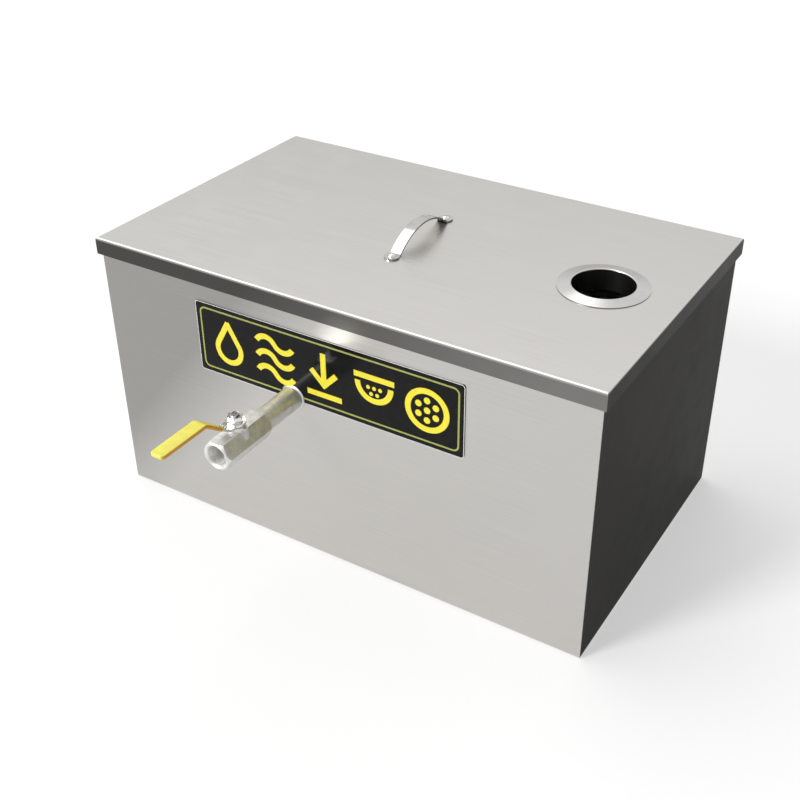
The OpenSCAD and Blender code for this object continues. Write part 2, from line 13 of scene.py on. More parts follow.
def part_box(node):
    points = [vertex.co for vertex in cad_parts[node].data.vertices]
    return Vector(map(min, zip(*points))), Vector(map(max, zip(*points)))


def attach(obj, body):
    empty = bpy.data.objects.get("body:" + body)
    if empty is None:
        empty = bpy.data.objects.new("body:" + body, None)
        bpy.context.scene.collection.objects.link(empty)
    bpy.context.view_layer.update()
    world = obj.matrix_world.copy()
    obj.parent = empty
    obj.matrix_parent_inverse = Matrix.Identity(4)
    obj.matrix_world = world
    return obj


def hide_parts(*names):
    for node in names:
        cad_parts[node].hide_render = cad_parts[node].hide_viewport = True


bl_info = {
    "name": "Grease Trap Dressing",
    "version": (1, 0, 0),
    "blender": (4, 5, 0),
    "location": "View3D > Sidebar > Grease Trap",
    "description": "Finishes the packed grease trap and sets its studio",
    "category": "Object",
}

# Frame and the places read from it
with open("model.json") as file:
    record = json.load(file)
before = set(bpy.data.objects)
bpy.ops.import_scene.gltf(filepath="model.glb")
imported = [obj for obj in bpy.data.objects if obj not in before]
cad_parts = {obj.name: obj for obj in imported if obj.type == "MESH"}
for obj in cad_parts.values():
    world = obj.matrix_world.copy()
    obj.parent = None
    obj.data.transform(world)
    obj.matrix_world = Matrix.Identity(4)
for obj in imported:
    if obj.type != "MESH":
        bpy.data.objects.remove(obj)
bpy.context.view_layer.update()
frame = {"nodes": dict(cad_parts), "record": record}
NODES = frame["nodes"]
MM = 0.001
TANK_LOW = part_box("tank_wrap")[0]
LID_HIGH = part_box("lid")[1]
PLATE_LOW, PLATE_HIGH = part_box("sign_plate")
PLATE_MIDDLE = (PLATE_LOW + PLATE_HIGH) / 2
COLLAR_LOW, COLLAR_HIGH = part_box("inlet_collar")
COLLAR_AXIS = (COLLAR_LOW + COLLAR_HIGH) / 2
PIPE_LOW, PIPE_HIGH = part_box("drain_pipe")
PIPE_AXIS = (PIPE_LOW + PIPE_HIGH) / 2
VALVE_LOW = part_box("valve_body")[0]
BALL_LOW, BALL_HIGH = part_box("valve_ball")
STEM_AXIS = (BALL_LOW + BALL_HIGH) / 2
LEVER_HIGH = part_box("lever")[1]
SLEEVE_LOW, SLEEVE_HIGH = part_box("lever_sleeve")

# Shape of the lever, as in its solid
LEVER_THICK = 2.0 * MM
LEVER_SLOPE = math.asin(0.6)
LEVER_BEND = 5.0 * MM  # middle radius of the bend between slope and grip
BEND_TO_STEM = 43.3333 * MM  # end of the bend at the grip, from the stem's axis
SLOPE_RUN = 20.4167 * MM  # coated length of the slope

# Streaks in the metal: slow along the grain, fast across it
GRAIN_X = (9.0, 900.0, 900.0)
GRAIN_Y = (900.0, 9.0, 900.0)
COARSE_X = (9.0, 700.0, 700.0)
HAIRLINES = (900.0, 90.0, 900.0)
TURNED = (40.0, 2400.0, 40.0)

# Slanted edge of the painted shade on the front, a dark reflection painted on its upper left: the direction
# across it, and its ends at the floor
SLANT = (1.0, 0.0, -0.834)
SLANT_START = -55 * MM
SLANT_END = 45 * MM


# Settings

class SteelSettings(PropertyGroup):
    """Stainless finishes of the box, its fittings and the valve."""
    sheet: FloatVectorProperty(
        name="Sheet", description="Colour of the satin sheet", subtype="COLOR", size=3,
        min=0.0, max=1.0, default=(0.56, 0.547, 0.523))
    sheet_roughness: FloatProperty(
        name="Sheet Roughness", description="Mean roughness of the satin sheet", subtype="FACTOR",
        min=0.0, max=1.0, default=0.33)
    # Painted shade: the front's upper left is darkened, a painted dark reflection
    painted_left_shade: FloatProperty(
        name="Left Tone", description="Tone of the front at its upper left, against the rest of it",
        subtype="FACTOR", min=0.0, max=1.0, default=0.60)
    # Painted shade: the right end is a darkened copy of the sheet
    painted_end_shade: FloatProperty(
        name="End Tone", description="Tone of the tank's right end, against the sheet", subtype="FACTOR",
        min=0.0, max=1.0, default=0.115)
    # Painted shade on the lid's skirt: its level, its darker front left, its darker right side and the reach
    # of the fade
    painted_skirt_shade: FloatProperty(
        name="Skirt Tone", description="Tone of the lid's folded skirt, against its top", subtype="FACTOR",
        min=0.0, max=1.0, default=0.31)
    painted_skirt_left_shade: FloatProperty(
        name="Skirt Left", description="Tone of the front skirt's left end, against its right end",
        subtype="FACTOR", min=0.0, max=1.0, default=0.37)
    painted_skirt_side_shade: FloatProperty(
        name="Skirt Side", description="Tone of the skirt's right side, against the rest of it",
        subtype="FACTOR", min=0.0, max=1.0, default=0.14)
    painted_skirt_shade_reach: FloatProperty(
        name="Skirt Reach", description="End of the fade along the front skirt, on its slant at the floor",
        subtype="DISTANCE", unit="LENGTH", default=240 * MM)
    polished: FloatVectorProperty(
        name="Polished", description="Colour of the handle, screws and collar", subtype="COLOR", size=3,
        min=0.0, max=1.0, default=(0.74, 0.735, 0.72))
    valve: FloatVectorProperty(
        name="Valve", description="Colour of the machined valve and pipe", subtype="COLOR", size=3,
        min=0.0, max=1.0, default=(0.72, 0.715, 0.70))
    resin: FloatVectorProperty(
        name="Resin", description="Colour of the valve's seats and packing", subtype="COLOR", size=3,
        min=0.0, max=1.0, default=(0.82, 0.82, 0.78))
    thread_pitch: FloatProperty(
        name="Thread Pitch", description="Pitch of the thread in the valve's mouth", subtype="DISTANCE",
        unit="LENGTH", default=1.814 * MM)
    thread_height: FloatProperty(
        name="Thread Height", description="Height of the thread's ridge over the bore", subtype="DISTANCE",
        unit="LENGTH", default=0.45 * MM)


class SleeveSettings(PropertyGroup):
    """Dipped vinyl sleeve on the lever."""
    face: FloatVectorProperty(
        name="Face", description="Colour of the sleeve's flat faces", subtype="COLOR", size=3,
        min=0.0, max=1.0, default=(0.80, 0.73, 0.085))
    # Orange that the sleeve's sides take as painted shade
    edge: FloatVectorProperty(
        name="Edge", description="Deeper colour where the coat is thick", subtype="COLOR", size=3,
        min=0.0, max=1.0, default=(0.78, 0.33, 0.02))
    corner: FloatProperty(
        name="Corner", description="Radius of the sleeve's rounded edges", subtype="DISTANCE", unit="LENGTH",
        default=1.1 * MM)
    tip: FloatProperty(
        name="Tip Corner", description="Radius of the tip's corners in plan", subtype="DISTANCE",
        unit="LENGTH", default=3.8 * MM)
    thickness: FloatProperty(
        name="Thickness", description="Thickness of the lever with its coat", subtype="DISTANCE",
        unit="LENGTH", default=3.6 * MM)


class PlateSettings(PropertyGroup):
    """Printed plate on the front."""
    black: FloatVectorProperty(
        name="Plate", description="Colour of the gloss plate", subtype="COLOR", size=3,
        min=0.0, max=1.0, default=(0.006, 0.006, 0.006))
    ink: FloatVectorProperty(
        name="Pictograms", description="Colour of the pictograms", subtype="COLOR", size=3,
        min=0.0, max=1.0, default=(0.88, 0.76, 0.03))
    line: FloatVectorProperty(
        name="Border", description="Colour of the border line", subtype="COLOR", size=3,
        min=0.0, max=1.0, default=(0.36, 0.38, 0.08))
    # Pale line printed along the plate's outline
    rim: FloatVectorProperty(
        name="Cut Edge", description="Colour of the plate's cut edge", subtype="COLOR", size=3,
        min=0.0, max=1.0, default=(0.70, 0.70, 0.68))
    border_inset: FloatProperty(
        name="Border Inset", description="Plate's edge to the border line", subtype="DISTANCE", unit="LENGTH",
        default=4.5 * MM)
    border_corner: FloatProperty(
        name="Border Corner", description="Radius of the border's corners", subtype="DISTANCE",
        unit="LENGTH", default=6 * MM)
    border_gap: FloatProperty(
        name="Border Gap", description="Drain pipe's axis to the border's open ends", subtype="DISTANCE",
        unit="LENGTH", default=12.2 * MM)
    # These edge settings shape the pale line along the plate's outline
    edge_corner: FloatProperty(
        name="Edge Corner", description="Radius of the plate's corners", subtype="DISTANCE",
        unit="LENGTH", default=3 * MM)
    edge_gap: FloatProperty(
        name="Edge Gap", description="Drain pipe's axis to the cut edge's open ends", subtype="DISTANCE",
        unit="LENGTH", default=12.8 * MM)
    edge_width: FloatProperty(
        name="Edge Width", description="Width of the pale cut edge", subtype="DISTANCE", unit="LENGTH",
        default=0.6 * MM)
    border_width: FloatProperty(
        name="Border Width", description="Width of the border line", subtype="DISTANCE", unit="LENGTH",
        default=1.6 * MM)
    stroke: FloatProperty(
        name="Stroke", description="Width of the pictograms' strokes", subtype="DISTANCE", unit="LENGTH",
        default=5.4 * MM)
    pitch: FloatProperty(
        name="Pitch", description="Distance between the pictograms", subtype="DISTANCE", unit="LENGTH",
        default=51.5 * MM)
    ink_height: FloatProperty(
        name="Ink Height", description="Height of the print above the plate", subtype="DISTANCE",
        unit="LENGTH", default=0.12 * MM)


class StudioSettings(PropertyGroup):
    """Floor, light and camera."""
    floor: FloatVectorProperty(
        name="Floor", description="Colour of the floor", subtype="COLOR", size=3,
        min=0.0, max=1.0, default=(0.93, 0.93, 0.93))
    floor_white: FloatProperty(
        name="Floor White", description="Share of plain white in the floor that the camera and the metal see",
        subtype="FACTOR", min=0.0, max=1.0, default=0.5)
    floor_size: FloatProperty(
        name="Floor Size", description="Length of the floor's side", subtype="DISTANCE", unit="LENGTH",
        default=14.0)
    key_strength: FloatProperty(
        name="Key Strength", description="Strength of the soft key light", default=2.55)
    key_angle: FloatProperty(
        name="Key Size", description="Angle that the soft key light spans", subtype="ANGLE",
        default=math.radians(18))
    key_towards: FloatVectorProperty(
        name="Key Direction", description="Direction from the object to the key light", subtype="DIRECTION",
        size=3, default=(-0.44, -0.72, 0.50))
    top_strength: FloatProperty(
        name="Top Strength", description="Strength of the soft light overhead", default=0.9)
    top_angle: FloatProperty(
        name="Top Size", description="Angle that the light overhead spans", subtype="ANGLE",
        default=math.radians(48))
    top_towards: FloatVectorProperty(
        name="Top Direction", description="Direction from the object to the light overhead",
        subtype="DIRECTION", size=3, default=(-0.45, 0.02, 0.89))
    fill_bright: FloatProperty(
        name="Bright Side", description="Strength of the fill light on its bright side", default=1.10)
    fill_dark: FloatProperty(
        name="Dark Side", description="Strength of the fill light on its dark side", default=0.06)
    fill_towards: FloatVectorProperty(
        name="Bright Direction", description="Direction from the object to the room's bright side",
        subtype="DIRECTION", size=3, default=(-0.60, 0.66, 0.45))
    wall_high: FloatProperty(
        name="Backdrop", description="Strength of the backdrop, 1 is white", default=1.0)
    wall_low: FloatProperty(
        name="Backdrop Foot", description="Strength of the backdrop near the floor, as the metal shows it",
        default=0.64)
    lens: FloatProperty(
        name="Lens", description="Focal length of the camera in millimetres", default=53.11)
    azimuth: FloatProperty(
        name="Azimuth", description="Camera's turn round the object", subtype="ANGLE",
        default=math.radians(31.312))
    elevation: FloatProperty(
        name="Elevation", description="Camera's height above the horizon", subtype="ANGLE",
        default=math.radians(32.140))
    place: FloatVectorProperty(
        name="Place", description="Place of the camera", subtype="XYZ", unit="LENGTH", size=3,
        default=(0.51011, -0.83785, 0.73407))
    shift: FloatVectorProperty(
        name="Shift", description="Sideways and upward shift of the picture", size=2,
        default=(-0.025, -0.025))


class TrapSettings(PropertyGroup):
    """All settings of the dressing."""
    steel: PointerProperty(type=SteelSettings, name="Steel", description="Stainless finishes")
    sleeve: PointerProperty(type=SleeveSettings, name="Sleeve", description="Lever's sleeve")
    plate: PointerProperty(type=PlateSettings, name="Plate", description="Printed plate")
    studio: PointerProperty(type=StudioSettings, name="Studio", description="Floor, light and camera")


# Node helpers

def put(tree, kind, inputs=None, **settings):
    """Adds a node, sets its options, and fills its sockets with values or links."""
    made = tree.nodes.new(kind)
    for key, value in settings.items():
        setattr(made, key, value)
    for key, value in (inputs or {}).items():
        if isinstance(value, bpy.types.NodeSocket):
            tree.links.new(value, made.inputs[key])
        else:
            made.inputs[key].default_value = value
    return made


def new_finish(name, **sockets):
    """New material with a principled shader; sockets are its plain values by name."""
    made = bpy.data.materials.new(name)
    made.use_nodes = True
    tree = made.node_tree
    shader = next(n for n in tree.nodes if n.type == "BSDF_PRINCIPLED")
    for key, value in sockets.items():
        shader.inputs[key.replace("_", " ")].default_value = value
    return made, tree, shader


def spot(tree, scale=(1.0, 1.0, 1.0), centre=(0.0, 0.0, 0.0)):
    """Object coordinates about a centre, stretched by a scale on each axis."""
    coords = put(tree, "ShaderNodeTexCoord").outputs["Object"]
    moved = put(tree, "ShaderNodeVectorMath", {0: coords, 1: centre}, operation="SUBTRACT").outputs[0]
    return put(tree, "ShaderNodeVectorMath", {0: moved, 1: scale}, operation="MULTIPLY").outputs[0]


def noise(tree, vector, scale, detail=2.0, rough=0.5):
    """Noise value at a place."""
    return put(tree, "ShaderNodeTexNoise",
               {"Vector": vector, "Scale": scale, "Detail": detail, "Roughness": rough}).outputs[0]


def between(tree, value, low, high, from_low=0.3, from_high=0.7):
    """Value taken from one range to another, held at both ends."""
    return put(tree, "ShaderNodeMapRange", {"Value": value, "From Min": from_low, "From Max": from_high,
                                            "To Min": low, "To Max": high}).outputs[0]


def blended(tree, factor, first, second):
    """Colour between two, by a factor."""
    made = put(tree, "ShaderNodeMix", {0: factor}, data_type="RGBA")
    for index, value in ((6, first), (7, second)):
        if isinstance(value, bpy.types.NodeSocket):
            tree.links.new(value, made.inputs[index])
        else:
            made.inputs[index].default_value = (*value, 1.0)
    return made.outputs[2]


def tinted(colour, factor):
    """Colour made darker or lighter, kept within range."""
    return tuple(min(1.0, part * factor) for part in colour)


def grey(level):
    """Plain grey for a colour socket."""
    return (level, level, level, 1.0)


def facing(tree, axis):
    """How far a face looks along an axis, from -1 to 1, in the piece's own frame."""
    normal = put(tree, "ShaderNodeTexCoord").outputs["Normal"]
    return put(tree, "ShaderNodeSeparateXYZ", {0: normal}).outputs[axis]


def end_facing(tree):
    """How far a face looks along X, either way, from 0 to 1."""
    return put(tree, "ShaderNodeMath", {0: facing(tree, 0)}, operation="ABSOLUTE").outputs[0]


def scaled(tree, colour, factor):
    """Colour times a tone."""
    return put(tree, "ShaderNodeVectorMath", {0: colour, "Scale": factor}, operation="SCALE").outputs[0]


def painted_slant_shade(tree, level, reach=SLANT_END):
    """Painted shade of the front, a dark reflection painted on its upper left: the tone rises from a level
    across a soft slanted line that ends at a reach.
    """
    depth = put(tree, "ShaderNodeSeparateXYZ", {0: spot(tree)}).outputs[1]
    # Only the front takes the painted shade: the tone is full from 8 mm behind the front's face
    low = between(tree, depth, level, 1.0, TANK_LOW.y + 2 * MM, TANK_LOW.y + 8 * MM)
    along = put(tree, "ShaderNodeVectorMath", {0: spot(tree), 1: SLANT}, operation="DOT_PRODUCT").outputs[1]
    return between(tree, along, low, 1.0, TANK_LOW.x + SLANT_START, TANK_LOW.x + reach)


def folded(tree, level, skirt=2.4 * MM, top=0.6 * MM):
    """Tone of the lid: a level of painted shade on its skirt, full on its top, with two depths for the fold
    between.
    """
    height = put(tree, "ShaderNodeSeparateXYZ", {0: spot(tree)}).outputs[2]
    return between(tree, height, level, 1.0, LID_HIGH.z - skirt, LID_HIGH.z - top)


def seen_rays(tree):
    """1 for rays from the camera or off metal and glass, 0 for the rest."""
    path = put(tree, "ShaderNodeLightPath").outputs
    seen = path["Is Camera Ray"]
    for kind in ("Is Glossy Ray", "Is Transmission Ray"):
        seen = put(tree, "ShaderNodeMath", {0: seen, 1: path[kind]}, operation="MAXIMUM").outputs[0]
    return seen


def raised(tree, height, distance, strength=1.0, normal=None):
    """Bump normal from a height, over another normal if there is one."""
    inputs = {"Height": height, "Distance": distance, "Strength": strength}
    if normal is not None:
        inputs["Normal"] = normal
    return put(tree, "ShaderNodeBump", inputs).outputs[0]


def round_edges(tree, radius):
    """Normal that rounds the hard edges of a CAD node."""
    return put(tree, "ShaderNodeBevel", {"Radius": radius}, samples=6).outputs[0]


def join(tree, shader, **sources):
    """Links node outputs to the shader's sockets by name."""
    for key, source in sources.items():
        tree.links.new(source, shader.inputs[key.replace("_", " ")])


def dress(material, *names):
    """Gives CAD nodes one material."""
    for name in names:
        mesh = NODES[name].data
        mesh.materials.clear()
        mesh.materials.append(material)


# Finishes

def satin_sheet(name, colour, roughness, stretch, shade=None, ends=None, **sockets):
    """Rolled sheet: streaks along the grain, slow ripples, handling marks.

    shade makes a tone of painted shade in the tree, and ends is the painted shade of the faces that look to
    the right.
    """
    made, tree, shader = new_finish(name, Metallic=1.0, **sockets)
    grain = noise(tree, spot(tree, stretch), scale=1.0, detail=4.0, rough=0.6)
    ripple = noise(tree, spot(tree), scale=7.0, detail=1.0, rough=0.4)
    marks = noise(tree, spot(tree), scale=26.0, detail=5.0, rough=0.62)
    tone = blended(tree, between(tree, grain, 0.0, 1.0), tinted(colour, 0.955), tinted(colour, 1.035))
    gloss = put(tree, "ShaderNodeMath",
                {0: between(tree, grain, roughness - 0.035, roughness + 0.035),
                 1: between(tree, marks, -0.02, 0.05, 0.42, 0.75)}, operation="ADD").outputs[0]
    if shade:
        tone = scaled(tree, tone, shade(tree))
    # Faces that look to the right are darkened: painted shade
    if ends:
        tone = scaled(tree, tone, between(tree, facing(tree, 0), 1.0, ends, 0.6, 0.95))
    slow = raised(tree, ripple, distance=2.2 * MM, strength=0.22)
    fine = raised(tree, grain, distance=0.03 * MM, strength=0.35, normal=slow)
    join(tree, shader, Base_Color=tone, Roughness=gloss, Normal=fine)
    return made


def spun_steel(name, colour, roughness, centre, lean=0.14):
    """Spun ring: fine grooves round its axis, its bore and lip darkened as painted shade; lean is a slope
    added to its face.
    """
    made, tree, shader = new_finish(name, Metallic=1.0, Anisotropic=0.5, Anisotropic_Rotation=0.25)
    around = put(tree, "ShaderNodeTangent", direction_type="RADIAL", axis="Z").outputs[0]
    radius = put(tree, "ShaderNodeVectorMath", {0: spot(tree, (1.0, 1.0, 0.0), centre)},
                 operation="LENGTH").outputs[1]
    grooves = put(tree, "ShaderNodeTexNoise", {"W": radius, "Scale": 2600.0, "Detail": 2.0},
                  noise_dimensions="1D").outputs[0]
    cone = put(tree, "ShaderNodeBump", {"Height": radius, "Distance": lean, "Strength": 1.0},
               invert=True).outputs[0]
    marks = noise(tree, spot(tree), scale=60.0, detail=4.0, rough=0.6)
    tone = blended(tree, between(tree, marks, 0.0, 1.0), tinted(colour, 0.93), tinted(colour, 1.03))
    # Upright faces, the bore and the lip, are darkened: painted shade
    tone = scaled(tree, tone, between(tree, facing(tree, 2), 0.3, 1.0, 0.15, 0.55))
    join(tree, shader, Base_Color=tone, Roughness=between(tree, grooves, roughness - 0.05, roughness + 0.07),
         Normal=raised(tree, grooves, distance=0.06 * MM, strength=0.5, normal=cone), Tangent=around)
    return made


def polished_steel(name, colour, roughness, edge, ends=None):
    """Pressed or turned bright steel with soft edges and hairline scratches; ends is the painted shade of its
    sides that look along X.
    """
    made, tree, shader = new_finish(name, Metallic=1.0)
    scratches = noise(tree, spot(tree, HAIRLINES), scale=1.0, detail=3.0, rough=0.6)
    cloud = noise(tree, spot(tree), scale=90.0, detail=3.0, rough=0.55)
    tone = blended(tree, between(tree, cloud, 0.0, 1.0), tinted(colour, 0.90), tinted(colour, 1.05))
    # Sides that look along X are darkened: painted shade
    if ends:
        tone = scaled(tree, tone, between(tree, end_facing(tree), 1.0, ends, 0.4, 0.9))
    join(tree, shader, Base_Color=tone,
         Roughness=between(tree, scratches, roughness - 0.04, roughness + 0.06),
         Normal=raised(tree, scratches, distance=0.02 * MM, strength=0.4, normal=round_edges(tree, edge)))
    return made


def machined_steel(name, colour, roughness, edge, metallic):
    """Valve body and pipe: turned marks across the pipe, stains spread at random, rounded edges."""
    made, tree, shader = new_finish(name, Metallic=metallic)
    turned = noise(tree, spot(tree, TURNED), scale=1.0, detail=3.0, rough=0.6)
    stains = noise(tree, spot(tree), scale=130.0, detail=5.0, rough=0.65)
    tone = blended(tree, between(tree, stains, 0.0, 1.0, 0.38, 0.66),
                   tinted(colour, 0.80), tinted(colour, 1.08))
    gloss = put(tree, "ShaderNodeMath",
                {0: between(tree, turned, roughness - 0.05, roughness + 0.06),
                 1: between(tree, stains, 0.05, -0.02, 0.35, 0.65)}, operation="ADD").outputs[0]
    join(tree, shader, Base_Color=tone, Roughness=gloss,
         Normal=raised(tree, turned, distance=0.03 * MM, strength=0.4, normal=round_edges(tree, edge)))
    return made


def seat_resin(name, colour):
    """Waxy white resin of the seats and the packing."""
    made, tree, shader = new_finish(name)
    cloud = noise(tree, spot(tree), scale=260.0, detail=3.0, rough=0.5)
    join(tree, shader, Base_Color=blended(tree, between(tree, cloud, 0.0, 1.0), tinted(colour, 0.94), colour),
         Roughness=between(tree, cloud, 0.38, 0.50))
    return made


def dipped_vinyl(name, face, edge):
    """Dipped sleeve: bright on its flat faces, its sides that look along X painted orange as painted shade."""
    made, tree, shader = new_finish(name, Coat_Weight=0.25, Coat_Roughness=0.18)
    runs = noise(tree, spot(tree), scale=170.0, detail=3.0, rough=0.5)
    body = blended(tree, between(tree, runs, 0.0, 1.0), tinted(face, 0.93), tinted(face, 1.05))
    # Sides that look along X take the orange: painted shade
    tone = blended(tree, between(tree, end_facing(tree), 0.0, 0.9, 0.35, 0.85), body, edge)
    join(tree, shader, Base_Color=tone, Roughness=between(tree, runs, 0.30, 0.42),
         Normal=raised(tree, runs, distance=0.4 * MM, strength=0.25))
    return made


def gloss_plate(name, colour):
    """Gloss black sheet with a faint film of dust in its shine."""
    made, tree, shader = new_finish(name, Specular_IOR_Level=0.12)
    dust = noise(tree, spot(tree), scale=150.0, detail=6.0, rough=0.7)
    film = noise(tree, spot(tree), scale=11.0, detail=2.0, rough=0.5)
    tone = blended(tree, between(tree, dust, 0.0, 1.0, 0.5, 0.8), colour, tinted(colour, 2.2))
    join(tree, shader, Base_Color=tone, Roughness=between(tree, dust, 0.06, 0.14, 0.4, 0.7),
         Normal=raised(tree, film, distance=1.2 * MM, strength=0.20))
    return made


def screen_ink(name, colour, roughness):
    """Printed ink with an uneven film."""
    made, tree, shader = new_finish(name)
    film = noise(tree, spot(tree), scale=320.0, detail=4.0, rough=0.6)
    join(tree, shader, Base_Color=blended(tree, between(tree, film, 0.0, 1.0), tinted(colour, 0.90), colour),
         Roughness=between(tree, film, roughness - 0.05, roughness + 0.10))
    return made


# Mesh helpers

def finished(name, bm, material, body):
    """Turns a bmesh into a piece that rides on a CAD body."""
    mesh = bpy.data.meshes.new(name)
    bm.to_mesh(mesh)
    bm.free()
    mesh.materials.append(material)
    piece = bpy.data.objects.new(name, mesh)
    bpy.context.scene.collection.objects.link(piece)
    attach(piece, body)
    return piece


def shade_smooth(bm, angle):
    """Smooth faces with hard edges past an angle."""
    for face in bm.faces:
        face.smooth = True
    for edge in bm.edges:
        edge.smooth = len(edge.link_faces) == 2 and edge.calc_face_angle(0.0) < angle


def bar(bm, x0, y0, x1, y1, width):
    """Flat stroke between two points of the plate's plane."""
    first, last = Vector((x0, y0, 0.0)), Vector((x1, y1, 0.0))
    run = last - first
    place = (Matrix.Translation((first + last) / 2) @ Matrix.Rotation(math.atan2(run.y, run.x), 4, "Z")
             @ Matrix.Diagonal((run.length, width, 1.0, 1.0)))
    bmesh.ops.create_grid(bm, x_segments=1, y_segments=1, size=0.5, matrix=place)


def disc(bm, x, y, radius):
    """Flat dot."""
    bmesh.ops.create_circle(bm, cap_ends=True, segments=28, radius=radius,
                            matrix=Matrix.Translation((x, y, 0.0)))


def arc(bm, x, y, radius, width, start, turn):
    """Flat curved stroke, spun from an edge across its width; angles in degrees."""
    at = math.radians(start)
    out = Vector((math.cos(at), math.sin(at), 0.0))
    centre = Vector((x, y, 0.0))
    ends = [bm.verts.new(centre + out * (radius + side * width / 2)) for side in (-1, 1)]
    edge = bm.edges.new(ends)
    full = abs(turn) >= 360
    bmesh.ops.spin(bm, geom=ends + [edge], cent=centre, axis=(0.0, 0.0, 1.0), angle=math.radians(turn),
                   steps=max(8, int(abs(turn) / 7)), use_merge=full)


def rounded_ring(bm, width, height, radius, line, gap):
    """Flat line round a rectangle with round corners, open below between the two places of a gap."""
    ends, level = width / 2 - radius, (height - line) / 2
    bar(bm, -ends, level, ends, level, line)
    bar(bm, -ends, -level, gap[0], -level, line)
    bar(bm, gap[1], -level, ends, -level, line)
    for x in (-(width - line) / 2, (width - line) / 2):
        bar(bm, x, -height / 2 + radius, x, height / 2 - radius, line)
    for x, y, start in ((1, 1, 0), (-1, 1, 90), (-1, -1, 180), (1, -1, 270)):
        arc(bm, x * (width / 2 - radius), y * (height / 2 - radius), radius - line / 2, line, start, 90)


def strokes(bm):
    """Faces of each separate stroke, in the order of the faces, so that every run gives the same."""
    bm.faces.index_update()
    bm.faces.ensure_lookup_table()
    done = set()
    for first in range(len(bm.faces)):
        found, reached = set(), {first} - done
        while reached:
            found |= reached
            lines = [line for index in reached for line in bm.faces[index].edges]
            reached = {near.index for line in lines for near in line.link_faces} - found
        if found:
            done |= found
            yield [bm.faces[index] for index in sorted(found)]


def printed(bm, height):
    """Gives flat strokes the ink's thickness on the plate's face, each a little over the last."""
    bmesh.ops.remove_doubles(bm, verts=bm.verts, dist=1e-6)
    bmesh.ops.recalc_face_normals(bm, faces=bm.faces)
    for face in bm.faces:
        if face.normal.z < 0:
            face.normal_flip()
    for index, faces in enumerate(list(strokes(bm))):
        made = bmesh.ops.extrude_face_region(bm, geom=faces, use_keep_orig=True)
        tops = [item for item in made["geom"] if isinstance(item, bmesh.types.BMVert)]
        bmesh.ops.translate(bm, verts=tops, vec=(0.0, 0.0, height * (1.0 + 0.15 * (index % 4))))
    bmesh.ops.recalc_face_normals(bm, faces=bm.faces)
    middle = Matrix.Translation((PLATE_MIDDLE.x, PLATE_LOW.y, PLATE_MIDDLE.z))
    place = middle @ Matrix.Rotation(math.pi / 2, 4, "X")
    bmesh.ops.transform(bm, matrix=place, verts=bm.verts)
    return bm


# Pictograms of the plate, each about its own middle

def draw_drop(bm, x, w):
    """Drop of liquid."""
    arc(bm, x, -6 * MM, 13 * MM, w, 150, 240)
    bar(bm, x - 11.4 * MM, 0.2 * MM, x + 0.7 * MM, 21.5 * MM, w)
    bar(bm, x + 11.4 * MM, 0.2 * MM, x - 0.7 * MM, 21.5 * MM, w)


def draw_waves(bm, x, w):
    """Three lines of moving water."""
    for level in (15 * MM, 0.0, -15 * MM):
        for side, start in ((-1, 30), (1, 210)):
            arc(bm, x + side * 9.6 * MM, level + side * 5.5 * MM, 11 * MM, w, start, 120)


def draw_arrow(bm, x, w):
    """Arrow down to a floor line."""
    bar(bm, x, 22 * MM, x, -9 * MM, w)
    bar(bm, x - 13 * MM, 3.5 * MM, x + 1.6 * MM, -11.5 * MM, w)
    bar(bm, x + 13 * MM, 3.5 * MM, x - 1.6 * MM, -11.5 * MM, w)
    bar(bm, x - 18 * MM, -20 * MM, x + 18 * MM, -20 * MM, w)


def draw_strainer(bm, x, w):
    """Bowl with a rim and holes."""
    bar(bm, x - 20 * MM, 14 * MM, x + 20 * MM, 14 * MM, w)
    arc(bm, x, 8 * MM, 16.5 * MM, w, 180, 180)
    for column, row in ((-6, 4), (0, 4), (6, 4), (-3, -2), (3, -2)):
        disc(bm, x + column * MM, row * MM, 1.9 * MM)


def draw_grate(bm, x, w):
    """Round drain cover with holes."""
    arc(bm, x, 0.0, 18.5 * MM, w, 0, 360)
    disc(bm, x, 0.0, 3.1 * MM)
    for step in range(6):
        turn = math.radians(60 * step + 30)
        disc(bm, x + 9.6 * MM * math.cos(turn), 9.6 * MM * math.sin(turn), 3.1 * MM)


# Operators

